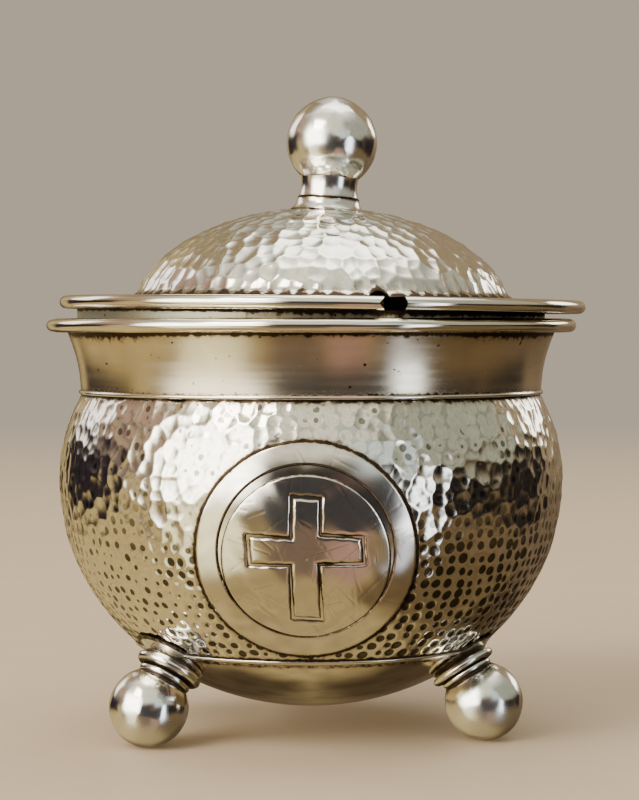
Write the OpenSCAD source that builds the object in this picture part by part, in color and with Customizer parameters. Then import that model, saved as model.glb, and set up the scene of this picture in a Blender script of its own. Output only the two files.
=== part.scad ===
// Incense pot: a hammered silver bowl on three ball feet, with a lift-off lid.
// Millimetres, +Z up, the table at z = 0, the bowl's axis on the Z axis, the medallion facing -Y.

/* [Bowl] */
// Outer radius of the bowl at its belly
belly_r = 48; // [44:0.5:50]
// Height of the belly above the table
belly_z = 48.1; // [46:0.1:50]
// Height of the bowl's curve above the belly, were it to close at the axis
bowl_rise = 38.7; // [36:0.1:42]
// Depth of the bowl's curve below the belly
bowl_drop = 43.3; // [42:0.1:44]
// Thickness of the bowl's wall
bowl_wall = 1.2; // [0.9:0.1:1.6]
// Height of the wire where the hammering ends
base_wire_z = 16.8; // [15.5:0.1:17.2]
// Height and standing-out of the base wire
base_wire_size = [1.2, 0.4]; // [0.2:0.1:1.6]

/* [Neck and rim] */
// Height at which the neck stands on the bowl
neck_z = 64.3; // [62:0.1:66]
// Outer radius of the neck under the rim
neck_top_r = 46.1; // [45.5:0.1:46.5]
// How far the neck's side curves in from a straight line
neck_cove = 0.5; // [0.2:0.1:1]
// Thickness of the neck band
neck_wall = 1.1; // [0.9:0.1:1.2]
// Height and standing-out of the wire in the neck joint
neck_wire_size = [0.9, 0.45]; // [0.3:0.05:1.2]
// Height of the rim's underside
rim_z = 75.5; // [74.5:0.1:76]
// Thickness of the rim
rim_h = 2.6; // [2.2:0.1:2.8]
// Outer radius of the rim
rim_r = 50.3; // [49:0.1:51]
// Outer radius of the upstanding lip
lip_r = 44.3; // [44:0.1:44.6]
// Thickness of the upstanding lip
lip_wall = 1; // [0.8:0.1:1.2]

/* [Medallion] */
// Outer radius of the medallion's border
medallion_r = 19.3; // [17:0.1:19.3]
// Height of the medallion's centre
medallion_z = 37.7; // [37.5:0.1:39]
// Turn of the medallion from the front, towards -X
medallion_turn = 1; // [0:0.5:4]
// Radius of the engraved disc
disc_r = 15; // [13:0.1:15.5]
// How far the disc's centre lies below the border's centre
disc_drop = 1; // [0:0.1:1.5]
// How far the medallion stands out of the bowl
medallion_proud = 0.4; // [0.3:0.05:0.6]
// Width of the engraved lines
line_w = 0.45; // [0.3:0.05:0.6]
// Width of the engraved cross's arms
cross_w = 5; // [3:0.1:6]

/* [Feet] */
// Radius of a foot's ball
ball_r = 7.33; // [7:0.01:7.6]
// Radius of the circle that the balls' centres stand on
foot_circle_r = 35.8; // [35.6:0.1:36.2]
// How far the middle of that circle lies off the bowl's axis, towards -X
foot_shift = 0.9; // [0:0.1:0.9]
// Lean of a foot's stem, its top towards the bowl's axis
foot_lean = 34; // [32:0.5:36]
// Turn of the three feet from their places level with the medallion
foot_turn = 7; // [0:1:10]
// Radius of the small flat that a ball stands on
flat_r = 1; // [0.6:0.1:1.5]

/* [Lid] */
// Radius of the lid's flange
flange_r = 49.8; // [49:0.1:50.5]
// Thickness of the lid's flange
flange_h = 2.4; // [2:0.1:2.8]
// Radius of the dome where it stands on the flange
dome_foot_r = 35.8; // [34:0.1:36.5]
// Height of the dome above the flange
dome_h = 17.6; // [16:0.1:19]
// How far the centre of the dome's curve lies below the flange's top
dome_sink = 4; // [3:0.1:5]
// Thickness of the dome's wall
dome_wall = 1; // [0.8:0.1:1.3]
// Outer radius of the bezel under the flange
bezel_r = 40.5; // [40:0.1:41]
// Depth of the bezel
bezel_h = 4.5; // [3:0.1:4.8]
// Width of the spoon slot
slot_w = 3.7; // [3:0.1:3.9]
// Turn of the spoon slot from the front, towards +X
slot_turn = 11; // [0:0.5:30]
// How far the slot's middle runs past the lid's centre, on the +X side
slot_off = 3; // [0:0.5:4]

/* [Lid at rest] */
// How far the lid lies off the bowl's axis, towards +X
lid_shift = 2.2; // [0:0.1:2.2]
// Tilt of the lid and of the lip's top that it lies on, +X side low
lid_tilt = 0.6; // [0:0.1:0.6]
// Height of the lid's underside above the table, at the lid's centre
seat_z = 79.5; // [79.3:0.1:79.8]

/* [Knob] */
// Radius of the knob's ball
knob_r = 8.75; // [8:0.05:9]
// Height of the ball's centre above the top of the dome
knob_rise = 12; // [11.6:0.1:12.4]
// Radius of the knob's neck
knob_neck_r = 5.7; // [5:0.1:5.8]
// How far the knob stands off the lid's centre, towards +X
knob_off = 0.8; // [0:0.1:1.5]
// Lean of the knob, its top towards +X
knob_lean = 3; // [0:0.5:3]

/* [Hidden] */
$fn = 96;

silver = "silver";
pale_silver = "gainsboro";
satin_silver = "tan";
warm_silver = "darkkhaki";
steel = "slategray";

far = 60;             // longer than anything that it cuts
over = 1;             // how far a cut runs past a face
steps = 14;           // chords in a quarter of an oval
neck_base_r = belly_r * sqrt(1 - pow((neck_z - belly_z) / bowl_rise, 2));

// Each foot's turn about the Z axis, from -Y towards +X
left_turn = -60 + foot_turn;
right_turn = 60 + foot_turn;
back_turn = 180 + foot_turn;

// Along a foot's stem, from the ball's centre towards the bowl
ball_z = sqrt(ball_r * ball_r - flat_r * flat_r);
stem_r = 1.8;
left_stack = [5.9, 6.9, 8.9];     // where the small ring, the large ring and the seat start
right_stack = [5.9, 6.6, 8];
back_stack = right_stack;
small_ring_r = 5;
large_ring_r = 6.3;
seat_r = 8;
seat_neck_r = 5.4;
seat_end = 10.5;

lip_lap = 1;          // how far the lip runs down inside the neck
bezel_wall = 1;

dome_rx = dome_foot_r / sqrt(1 - pow(dome_sink / (dome_h + dome_sink), 2));
dome_rz = dome_h + dome_sink;
slot_inner_r = dome_foot_r - 2.2;
arch_r = 2.1;
arch_sink = 1;        // how far the arch's centre lies below the flange's top

stud_r = 1.5;
stud_hole_r = 1.6;
stud_into_ball = 6;
washer_r = 3.5;
washer_h = 0.5;
nut_r = 3.2;          // corner radius of the hexagon
nut_h = 2.4;
stud_below_nut = 1;
collar_h = 1.5;
collar_r = 5.9;
collar_foot_r = 7.1;
collar_foot_h = 0.2;

// The washer's top, below the top of the dome, where its edge touches the inside of the dome
washer_top = -dome_wall - 0.35;

function flip(points) = [for (i = [len(points) - 1 : -1 : 0]) points[i]];

// Points on an oval about [0, cz], from angle t0 to t1, counted from the +X side
function oval(rx, rz, cz, t0, t1, n) =
    [for (i = [0 : n]) let (t = t0 + (t1 - t0) * i / n) [rx * cos(t), cz + rz * sin(t)]];

// The bowl's outline from its lowest point up to the neck, grown outwards by g
function bowl_side(g) = concat(
    oval(belly_r + g, bowl_drop + g, belly_z, -90, 0, steps),
    oval(belly_r + g, bowl_rise + g, belly_z, 6, asin((neck_z - belly_z) / (bowl_rise + g)), 4)
);

// The dome's outline from the flange up to its top, grown outwards by g
function dome_side(g) =
    oval(dome_rx + g, dome_rz + g, flange_h - dome_sink, asin(dome_sink / (dome_rz + g)), 90, steps);

// The neck's side from the bowl up to the rim: a shallow cove
function neck_side(g) = [
    for (i = [0 : 6]) let (f = i / 6)
        [neck_base_r + g + (neck_top_r - neck_base_r) * f - neck_cove * sin(180 * f),
         neck_z + (rim_z - neck_z) * f]
];

module bowl_form(g = 0)
    rotate_extrude() polygon(concat(bowl_side(g), [[0, neck_z]]));

module dome_form(g = 0)
    rotate_extrude() polygon(concat(dome_side(g), [[0, flange_h]]));

// A flat ring with a half-round outer edge, from z = 0 up to h
module round_edged_ring(inner_r, outer_r, h)
    rotate_extrude() difference() {
        union() {
            square([outer_r - h / 2, h]);
            translate([outer_r - h / 2, h / 2]) circle(d = h, $fn = 32);
        }
        translate([0, -over]) square([inner_r, h + 2 * over]);
    }

module tube(inner_r, outer_r, z0, z1)
    translate([0, 0, z0]) difference() {
        cylinder(r = outer_r, h = z1 - z0);
        translate([0, 0, -over]) cylinder(r = inner_r, h = z1 - z0 + 2 * over);
    }

// --- The vessel ---

module bowl() color(silver)
    rotate_extrude() polygon(concat(bowl_side(0), flip(bowl_side(-bowl_wall))));

// A thin wire that lies on the bowl's outside, centred at a height
module wire_on_bowl(z, size) difference() {
    translate([0, 0, z - size[0] / 2])
        cylinder(r = belly_r * sqrt(1 - pow((z - belly_z) / (z < belly_z ? bowl_drop : bowl_rise), 2))
            + size[1], h = size[0]);
    bowl_form();
}

module base_wire() color(pale_silver) wire_on_bowl(base_wire_z, base_wire_size);

module neck_band() color(satin_silver)
    rotate_extrude() polygon(concat(neck_side(0), flip(neck_side(-neck_wall))));

// The wire stands on the bowl's shoulder, against the foot of the neck
module neck_wire() color(pale_silver) difference() {
    translate([0, 0, neck_z - neck_wire_size[0] / 2])
        cylinder(r = neck_base_r + neck_wire_size[1], h = neck_wire_size[0]);
    bowl_form();
    rotate_extrude() polygon(concat([[0, neck_z]], neck_side(0), [[0, rim_z]]));
}

module rim_wire() color(pale_silver)
    translate([0, 0, rim_z]) round_edged_ring(lip_r, rim_r, rim_h);

module mouth_lip() color(warm_silver) difference() {
    tube(lip_r - lip_wall, lip_r, rim_z - lip_lap, seat_z + 2 * over);
    at_seat() translate([-far, -far, 0]) cube([2 * far, 2 * far, far]);
}

// --- The medallion ---

// A plug along the medallion's axis, to cut its outline out of the bowl's skin
module medallion_plug(r, drop)
    rotate([0, 0, -medallion_turn]) translate([0, 0, medallion_z - drop])
        rotate([90, 0, 0]) cylinder(r = r, h = far);

module bowl_skin(from, to) difference() {
    bowl_form(to);
    bowl_form(from);
}

module medallion_ring() color(pale_silver) intersection() {
    bowl_skin(0, medallion_proud);
    difference() {
        medallion_plug(medallion_r, 0);
        medallion_plug(disc_r + line_w / 2, disc_drop);
    }
}

module cross_shape(grow) union() {
    square([cross_w + 2 * grow, 2 * disc_r * 0.72 + 2 * grow], center = true);
    translate([0, disc_r * 0.1])
        square([2 * disc_r * 0.66 + 2 * grow, cross_w + 2 * grow], center = true);
}

module medallion_disc() color(warm_silver) difference() {
    intersection() {
        bowl_skin(0, medallion_proud);
        medallion_plug(disc_r - line_w / 2, disc_drop);
    }
    intersection() {
        bowl_skin(medallion_proud / 2, medallion_proud + over);
        rotate([0, 0, -medallion_turn]) translate([0, 0, medallion_z - disc_drop])
            rotate([90, 0, 0]) linear_extrude(far) difference() {
                cross_shape(line_w / 2);
                cross_shape(-line_w / 2);
            }
    }
}

// --- The feet ---

// Puts a foot, drawn about its ball's centre with its stem along +Z, in its place
module at_foot(turn) at_ball(turn) rotate([-foot_lean, 0, 0]) children();

module at_ball(turn)
    translate([-foot_shift, 0, 0]) rotate([0, 0, turn]) translate([0, -foot_circle_r, ball_z])
        children();

module foot_ball(turn) color(pale_silver) difference() {
    union() {
        at_ball(turn) sphere(r = ball_r);
        at_foot(turn) cylinder(r = stem_r, h = 2 * ball_r);
    }
    translate([0, 0, -far]) cube([4 * far, 4 * far, 2 * far], center = true);
    bowl_form();
}

module foot_ring_small(turn, stack) color(silver) difference() {
    at_foot(turn) tube(stem_r, small_ring_r, stack[0], stack[1]);
    at_ball(turn) sphere(r = ball_r);
}

module foot_ring_large(turn, stack) color(pale_silver) difference() {
    at_foot(turn) translate([0, 0, stack[1]])
        round_edged_ring(stem_r, large_ring_r, stack[2] - stack[1]);
    at_ball(turn) sphere(r = ball_r);
}

module foot_seat(turn, stack) color(silver) difference() {
    at_foot(turn) difference() {
        translate([0, 0, stack[2]])
            cylinder(r1 = seat_neck_r, r2 = seat_r, h = seat_end - stack[2]);
        cylinder(r = stem_r, h = seat_end + over);
    }
    bowl_form();
    wire_on_bowl(base_wire_z, base_wire_size);
}

// --- The lid ---

// Puts what is drawn about the lid's centre, with the flange's underside at z = 0, on the lip
module at_seat() translate([lid_shift, 0, seat_z]) rotate([0, lid_tilt, 0]) children();

// The spoon slot runs in from the flange's edge
module spoon_slot()
    rotate([0, 0, slot_turn]) translate([slot_off - slot_w / 2, -far - slot_inner_r, -far / 2])
        cube([slot_w, far, far]);

// The slot's arched end in the foot of the dome
module slot_arch()
    rotate([0, 0, slot_turn]) translate([slot_off, -slot_inner_r, flange_h - arch_sink])
        rotate([90, 0, 0]) cylinder(r = arch_r, h = far);

module lid_flange() color(pale_silver) at_seat() difference() {
    round_edged_ring(dome_foot_r - dome_wall, flange_r, flange_h);
    spoon_slot();
}

module lid_dome() color(silver) at_seat() difference() {
    rotate_extrude() polygon(concat(dome_side(0), flip(dome_side(-dome_wall))));
    slot_arch();
    at_knob() translate([0, 0, -far / 2]) cylinder(r = stud_hole_r, h = far);
}

module lid_bezel() color(warm_silver) at_seat() difference() {
    tube(bezel_r - bezel_wall, bezel_r, -bezel_h, 0);
    spoon_slot();
}

// --- The knob ---

// Puts what is drawn about the knob's axis, with the top of the dome at z = 0, on the dome
module at_knob()
    translate([knob_off, 0, flange_h + dome_h]) rotate([0, knob_lean, 0]) children();

module knob_collar() color(silver) at_seat() difference() {
    at_knob() {
        cylinder(r = collar_r, h = collar_h);
        translate([0, 0, -over]) cylinder(r = collar_foot_r, h = over + collar_foot_h);
    }
    dome_form();
    at_knob() translate([0, 0, -far / 2]) cylinder(r = stud_hole_r, h = far);
}

module knob_neck() color(pale_silver) at_seat() at_knob() difference() {
    translate([0, 0, collar_h]) cylinder(r = knob_neck_r, h = knob_rise - collar_h);
    translate([0, 0, knob_rise]) sphere(r = knob_r);
    cylinder(r = stud_hole_r, h = far);
}

module knob_ball() color(pale_silver) at_seat() at_knob() difference() {
    translate([0, 0, knob_rise]) sphere(r = knob_r);
    cylinder(r = stud_r, h = knob_rise - knob_r + stud_into_ball);
}

module knob_stud() color(steel) at_seat() at_knob()
    translate([0, 0, washer_top - washer_h - nut_h - stud_below_nut])
        cylinder(r = stud_r, h = knob_rise - knob_r + stud_into_ball - washer_top + washer_h + nut_h
            + stud_below_nut);

module knob_washer() color(steel) at_seat() at_knob()
    tube(stud_hole_r, washer_r, washer_top - washer_h, washer_top);

module knob_nut() color(steel) at_seat() at_knob()
    translate([0, 0, washer_top - washer_h - nut_h]) difference() {
        cylinder(r = nut_r, h = nut_h, $fn = 6);
        translate([0, 0, -over]) cylinder(r = stud_r, h = nut_h + 2 * over);
    }

bowl();
base_wire();
neck_band();
neck_wire();
rim_wire();
mouth_lip();
medallion_ring();
medallion_disc();
foot_ball(left_turn);  // foot_ball_left
foot_ring_small(left_turn, left_stack);  // foot_ring_small_left
foot_ring_large(left_turn, left_stack);  // foot_ring_large_left
foot_seat(left_turn, left_stack);  // foot_seat_left
foot_ball(right_turn);  // foot_ball_right
foot_ring_small(right_turn, right_stack);  // foot_ring_small_right
foot_ring_large(right_turn, right_stack);  // foot_ring_large_right
foot_seat(right_turn, right_stack);  // foot_seat_right
foot_ball(back_turn);  // foot_ball_back
foot_ring_small(back_turn, back_stack);  // foot_ring_small_back
foot_ring_large(back_turn, back_stack);  // foot_ring_large_back
foot_seat(back_turn, back_stack);  // foot_seat_back
lid_flange();
lid_dome();
lid_bezel();
knob_collar();
knob_neck();
knob_ball();
knob_stud();
knob_washer();
knob_nut();
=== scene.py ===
"""The looks of a hammered silver incense pot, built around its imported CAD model."""

import math

import bpy
import numpy as np
from mathutils import Matrix, Vector


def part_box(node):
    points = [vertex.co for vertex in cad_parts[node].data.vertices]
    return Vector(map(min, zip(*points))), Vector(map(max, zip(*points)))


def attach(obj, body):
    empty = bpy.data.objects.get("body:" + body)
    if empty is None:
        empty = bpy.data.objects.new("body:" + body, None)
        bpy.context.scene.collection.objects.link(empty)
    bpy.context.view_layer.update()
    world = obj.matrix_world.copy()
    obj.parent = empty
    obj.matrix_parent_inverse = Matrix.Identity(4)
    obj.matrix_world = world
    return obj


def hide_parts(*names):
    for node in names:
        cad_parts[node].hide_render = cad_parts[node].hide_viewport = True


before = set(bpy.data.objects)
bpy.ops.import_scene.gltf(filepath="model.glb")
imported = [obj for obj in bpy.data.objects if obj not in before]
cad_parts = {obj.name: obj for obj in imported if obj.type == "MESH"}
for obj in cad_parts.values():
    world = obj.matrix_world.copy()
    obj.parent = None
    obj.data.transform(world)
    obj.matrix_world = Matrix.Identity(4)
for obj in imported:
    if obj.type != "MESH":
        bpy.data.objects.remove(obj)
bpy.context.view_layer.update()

MM = 0.001
TAU = 2 * math.pi


# ---------------------------------------------------------------- the frame's measures

bowl_lo, bowl_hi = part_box("bowl")
band_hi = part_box("neck_band")[1]
rim_lo, rim_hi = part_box("rim_wire")
lip_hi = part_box("mouth_lip")[1]
flange_lo, flange_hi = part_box("lid_flange")

BELLY_R = bowl_hi[0]
BOWL_DROP = 43.3 * MM
BOWL_RISE = 38.7 * MM
BELLY_Z = bowl_lo[2] + BOWL_DROP
NECK_Z = bowl_hi[2]
BOWL_WALL = 1.2 * MM
BASE_WIRE_Z = 16.8 * MM
BEDDED = 0.4 * MM  # how far a wire is let into what it lies on

NECK_BASE_R = BELLY_R * math.sqrt(1 - ((NECK_Z - BELLY_Z) / BOWL_RISE) ** 2)
NECK_TOP_R = band_hi[0]
NECK_WALL = 1.1 * MM
RIM_Z, RIM_TOP = rim_lo[2], rim_hi[2]
RIM_R = rim_hi[0]
LIP_R, LIP_WALL = lip_hi[0], 1.0 * MM

LID_TILT = math.radians(0.6)
LID_SHIFT = (flange_lo[0] + flange_hi[0]) / 2
SEAT_Z = 79.5 * MM
FLANGE_R = 49.8 * MM
FLANGE_H = 2.4 * MM
DOME_FOOT_R = 35.8 * MM
DOME_H = 17.6 * MM
DOME_SINK = 4.0 * MM
DOME_WALL = 1.0 * MM
DOME_CURL = 0.9 * MM
BEZEL_R, BEZEL_H, BEZEL_WALL = 40.5 * MM, 4.5 * MM, 1.0 * MM
SLOT_W = 3.7 * MM
SLOT_TURN = math.radians(11)
SLOT_OFF = 3.0 * MM
ARCH_R, ARCH_SINK = 2.1 * MM, 1.0 * MM

KNOB_R = 8.75 * MM
KNOB_RISE = 12.0 * MM
KNOB_NECK_R, KNOB_NECK_TOP = 5.7 * MM, 6.2 * MM
KNOB_OFF = 0.8 * MM
KNOB_LEAN = math.radians(3)
COLLAR_R, COLLAR_FLARE = 5.9 * MM, 1.2 * MM
COLLAR_SINK, COLLAR_H = 0.9 * MM, 1.5 * MM
STUD_HOLE_R = 1.6 * MM

MEDALLION_R = 19.3 * MM
MEDALLION_Z = 37.7 * MM
MEDALLION_TURN = math.radians(1)
DISC_R = 15.0 * MM
DISC_DROP = 1.0 * MM
MEDALLION_PROUD = 0.4 * MM
MEDALLION_GAP = 0.22 * MM

BALL_R = 7.33 * MM
BALL_FLAT_R = 1.0 * MM
STEM_R = 1.8 * MM
SMALL_RING_R, LARGE_RING_R = 5.05 * MM, 6.3 * MM
SEAT_R, SEAT_FLARE = 5.3 * MM, 2.7 * MM
FOOT_LEAN = math.radians(34)
FOOT_CIRCLE_R, FOOT_SHIFT = 35.8 * MM, 0.9 * MM
# each foot's turn, and where its small ring, its large ring and its seat start along the stem
FEET = {
    "left": (math.radians(-53), 5.9 * MM, 6.9 * MM, 8.9 * MM),
    "right": (math.radians(67), 5.9 * MM, 6.6 * MM, 8.0 * MM),
    "back": (math.radians(187), 5.9 * MM, 6.6 * MM, 8.0 * MM),
}

# how many points go round the pieces
BOWL_COLUMNS, DOME_COLUMNS = 900, 620
RING_COLUMNS, PLATE_COLUMNS = 420, 400
KNOB_COLUMNS, FOOT_COLUMNS = 200, 160

LID_PLACE = Matrix.Translation((LID_SHIFT, 0, SEAT_Z)) @ Matrix.Rotation(LID_TILT, 4, "Y")
KNOB_PLACE = (
    LID_PLACE
    @ Matrix.Translation((KNOB_OFF, 0, FLANGE_H + DOME_H))
    @ Matrix.Rotation(KNOB_LEAN, 4, "Y")
)


# ---------------------------------------------------------------- camera and light

def look_from(x, y, z, pitch):
    """A camera that looks along +Y, tipped down by pitch radians."""
    data = bpy.data.cameras.new("camera")
    data.lens = 108
    data.sensor_width = 36
    data.clip_start = 0.01
    camera = bpy.data.objects.new("camera", data)
    camera.location = (x, y, z)
    camera.rotation_euler = (math.pi / 2 - pitch, 0, 0)
    bpy.context.scene.collection.objects.link(camera)
    bpy.context.scene.camera = camera


look_from(1.6 * MM, -457 * MM, 76.5 * MM, math.radians(1.74))


def area_light(name, place, aim, size, power, colour):
    """A soft rectangular lamp at place, turned towards aim. It isn't seen by the camera itself."""
    data = bpy.data.lights.new(name, "AREA")
    data.shape = "RECTANGLE"
    data.size, data.size_y = size
    data.energy = power
    data.color = colour
    lamp = bpy.data.objects.new(name, data)
    lamp.location = place
    lamp.rotation_euler = (Vector(aim) - Vector(place)).to_track_quat("-Z", "Y").to_euler()
    lamp.visible_camera = False
    bpy.context.scene.collection.objects.link(lamp)


class Nodes:
    """Builds a node tree a line at a time."""

    def __init__(self, tree):
        self.tree = tree
        tree.nodes.clear()

    def add(self, kind, *links, **settings):
        """A node of this kind. links are (input, value or socket) pairs."""
        node = self.tree.nodes.new("ShaderNode" + kind)
        for key, value in settings.items():
            setattr(node, key, value)
        for name, value in links:
            self.set(node.inputs[name], value)
        return node

    def set(self, socket, value):
        if isinstance(value, bpy.types.NodeSocket):
            self.tree.links.new(value, socket)
        else:
            socket.default_value = value

    def maths(self, operation, a, b=0.0, clamp=False):
        return self.add("Math", (0, a), (1, b), operation=operation, use_clamp=clamp).outputs[0]

    def ramp(self, value, low, high, to_low=0.0, to_high=1.0):
        """value from low..high, eased onto to_low..to_high."""
        node = self.add(
            "MapRange",
            ("Value", value), ("From Min", low), ("From Max", high),
            ("To Min", to_low), ("To Max", to_high),
            interpolation_type="SMOOTHSTEP",
        )
        return node.outputs["Result"]

    def gradient(self, value, stops):
        """A colour from (value, colour) stops in rising order."""
        low, high = stops[0][0], stops[-1][0]
        part = self.add("MapRange", ("Value", value), ("From Min", low), ("From Max", high))
        node = self.add("ValToRGB", ("Fac", part.outputs["Result"]))
        bar = node.color_ramp.elements
        for at, colour in stops[1:-1]:
            bar.new((at - low) / (high - low)).color = (*colour, 1)
        bar[0].color, bar[-1].color = (*stops[0][1], 1), (*stops[-1][1], 1)
        return node.outputs["Color"]

    def mix(self, factor, a, b):
        """Colour a where factor is 0, and b where it is 1."""
        node = self.add("Mix", data_type="RGBA")
        self.set(node.inputs["Factor"], factor)
        self.set(node.inputs["A"], a)
        self.set(node.inputs["B"], b)
        return node.outputs["Result"]

    def noise(self, vector, scale, detail=3.0, rough=0.5):
        node = self.add(
            "TexNoise", ("Vector", vector), ("Scale", scale), ("Detail", detail), ("Roughness", rough)
        )
        return node.outputs["Fac"]


def new_material(name):
    """A material, its empty tree, and the place on the object as the tree knows it."""
    material = bpy.data.materials.new(name)
    material.use_nodes = True
    n = Nodes(material.node_tree)
    return material, n, n.add("TexCoord").outputs["Object"]


def patch(n, azimuth, elevation, a0, a1, e0, e1, soft):
    """1 inside a window of the sky from a0 to a1 and from e0 to e1 (degrees), 0 outside it."""
    left = n.ramp(azimuth, a0 - soft, a0 + soft)
    right = n.ramp(azimuth, a1 - soft, a1 + soft, 1.0, 0.0)
    low = n.ramp(elevation, e0 - soft, e0 + soft)
    high = n.ramp(elevation, e1 - soft, e1 + soft, 1.0, 0.0)
    return n.maths("MULTIPLY", n.maths("MULTIPLY", left, right), n.maths("MULTIPLY", low, high))


# What the silver sees round it, by elevation in degrees and then colour: the room's own tone
ROOM = [
    (-90, (0.50, 0.38, 0.185)),
    (-62, (0.54, 0.40, 0.180)),
    (-28, (0.45, 0.325, 0.145)),
    (-9, (0.15, 0.105, 0.055)),
    (0, (0.035, 0.028, 0.022)),
    (9, (0.12, 0.095, 0.065)),
    (26, (0.40, 0.375, 0.30)),
    (55, (0.90, 0.88, 0.75)),
    (72, (2.1, 2.06, 1.80)),
    (90, (2.9, 2.85, 2.55)),
]

# and the soft boxes and dark flags that stand in it: azimuth from and to, which is 0 in front of
# the pot and grows to its right, elevation from and to, softness of the edges, colour
STANDING = [
    # the room behind the pot and to its right
    (118, 181, -60, -6, 9, (0.075, 0.050, 0.026)),
    (-181, -118, -60, -6, 9, (0.085, 0.058, 0.030)),
    (34, 118, -64, -6, 8, (0.16, 0.110, 0.052)),
    (114, 181, 4, 30, 8, (0.34, 0.25, 0.135)),
    (-181, -114, 4, 30, 8, (0.34, 0.25, 0.135)),
    (118, 164, 20, 60, 8, (0.36, 0.27, 0.15)),
    (-164, -118, 20, 60, 8, (0.36, 0.27, 0.15)),
    # the golden walls to its left, and the brown ones to its right
    (-150, -72, -64, -26, 8, (0.74, 0.56, 0.25)),
    (-160, -80, -30, 36, 7, (0.70, 0.53, 0.24)),
    (62, 106, -26, 34, 7, (0.19, 0.13, 0.068)),
    (106, 172, -24, -2, 8, (0.20, 0.14, 0.085)),
    (106, 172, -2, 30, 8, (0.36, 0.27, 0.165)),
    # the main soft box's gleam on the table, and the ceiling lit above it
    (-68, -34, -42, -3, 7, (1.9, 1.75, 1.1)),
    (-80, -20, 34, 76, 8, (1.35, 1.27, 0.98)),
    # the dark flag in front, the ceiling over it, and dull and pink things under it and in it
    (-21, 42, -24, 11, 4, (0.055, 0.053, 0.055)),
    (-21, 40, 17, 75, 6, (1.10, 1.08, 0.90)),
    (-22, 8, -50, -22, 4, (0.21, 0.145, 0.105)),
    (9, 30, -50, -24, 3, (0.52, 0.30, 0.25)),
    (9, 28, -2, 8, 3, (0.15, 0.095, 0.085)),
    # the grey wall to the right, with a narrow cool window and its gleam on the table
    (34, 112, 9, 50, 7, (0.44, 0.46, 0.37)),
    (20, 46, 8, 30, 5, (0.85, 0.98, 1.02)),
    (42, 56, -25, 9, 3.5, (3.6, 3.9, 4.4)),
    (43, 51, -42, -24, 3, (1.1, 1.18, 1.35)),
    # the main soft box
    (-74, -24, -6, 36, 8, (9.0, 8.7, 7.9)),
    # reddish things, a dark flag and a small soft box to the left
    (-122, -84, 4, 20, 5, (0.29, 0.21, 0.17)),
    (-122, -84, 20, 44, 6, (0.53, 0.35, 0.25)),
    (-148, -98, -10, 11, 4, (0.030, 0.022, 0.028)),
    (-144, -121, 11, 34, 4, (3.0, 2.9, 2.9)),
    # two dark flags and a small soft box to the right
    (58, 92, -13, 4, 4, (0.020, 0.018, 0.018)),
    (94, 130, -13, 9, 4, (0.026, 0.021, 0.019)),
    (126, 147, 10, 26, 3, (5.0, 4.9, 4.5)),
]

BACKDROP = (0.50, 0.42, 0.325, 1)


def surroundings():
    """Soft studio surroundings: soft boxes and flags in a warm room, and a plain pale backdrop."""
    world = bpy.data.worlds.new("studio")
    bpy.context.scene.world = world
    world.use_nodes = True
    n = Nodes(world.node_tree)
    direction = n.add("TexCoord").outputs["Generated"]
    axes = n.add("SeparateXYZ", ("Vector", direction)).outputs
    toward = n.maths("MULTIPLY", axes["Y"], -1.0)
    azimuth = n.maths("MULTIPLY", n.maths("ARCTAN2", axes["X"], toward), 180 / math.pi)
    elevation = n.maths("MULTIPLY", n.maths("ARCSINE", axes["Z"]), 180 / math.pi)
    # nothing in a real room has a ruled edge
    wobble = n.maths("MULTIPLY", n.maths("SUBTRACT", n.noise(direction, 7, 3, 0.55), 0.5), 7.0)
    azimuth, elevation = n.maths("ADD", azimuth, wobble), n.maths("ADD", elevation, wobble)
    colour = n.gradient(elevation, ROOM)
    for a0, a1, e0, e1, soft, tint in STANDING:
        inside = patch(n, azimuth, elevation, a0, a1, e0, e1, soft)
        colour = n.mix(inside, colour, (*tint, 1))
    clutter = n.ramp(n.noise(direction, 13, 4, 0.6), 0.36, 0.62, 0.72, 1.12)
    colour = n.add("VectorMath", (0, colour), ("Scale", clutter), operation="SCALE").outputs["Vector"]
    room = n.add("Background", ("Color", colour), ("Strength", 1.0))
    backdrop = n.add("Background", ("Color", BACKDROP), ("Strength", 1.0))
    seen = n.add("LightPath").outputs["Is Camera Ray"]
    both = n.add("MixShader", (0, seen), (1, room.outputs[0]), (2, backdrop.outputs[0]))
    n.add("OutputWorld", ("Surface", both.outputs[0]))


def floor():
    """A plain pale floor at the pot's feet, which runs out into the backdrop. The silver doesn't
    mirror it: it sees the room's own lower half."""
    size = 6.0
    mesh = bpy.data.meshes.new("floor")
    corners = [(-size, -size, 0), (size, -size, 0), (size, size, 0), (-size, size, 0)]
    mesh.from_pydata(corners, [], [(0, 1, 2, 3)])
    obj = bpy.data.objects.new("floor", mesh)
    bpy.context.scene.collection.objects.link(obj)
    obj.visible_glossy = False
    material, n, where = new_material("floor")
    grain = n.noise(where, 60, 5, 0.6)
    colour = n.mix(grain, (0.50, 0.385, 0.265, 1), (0.56, 0.43, 0.30, 1))
    near = n.add("BsdfPrincipled", ("Base Color", colour), ("Roughness", 0.6))
    far = n.add("Emission", ("Color", BACKDROP), ("Strength", 1.0))
    away = n.add("VectorMath", (0, where), operation="LENGTH").outputs["Value"]
    fade = n.ramp(away, 0.25, 1.6)
    both = n.add("MixShader", (0, fade), (1, near.outputs[0]), (2, far.outputs[0]))
    n.add("OutputMaterial", ("Surface", both.outputs[0]))
    mesh.materials.append(material)


surroundings()
floor()
area_light("key", (-0.7, -0.8, 1.1), (0, 0, 0.03), (0.5, 0.5), 9, (1.0, 0.95, 0.88))
area_light("top", (0.2, 0.3, 1.3), (0, 0, 0.03), (0.9, 0.9), 5, (1.0, 0.97, 0.93))


# ---------------------------------------------------------------- materials

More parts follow.
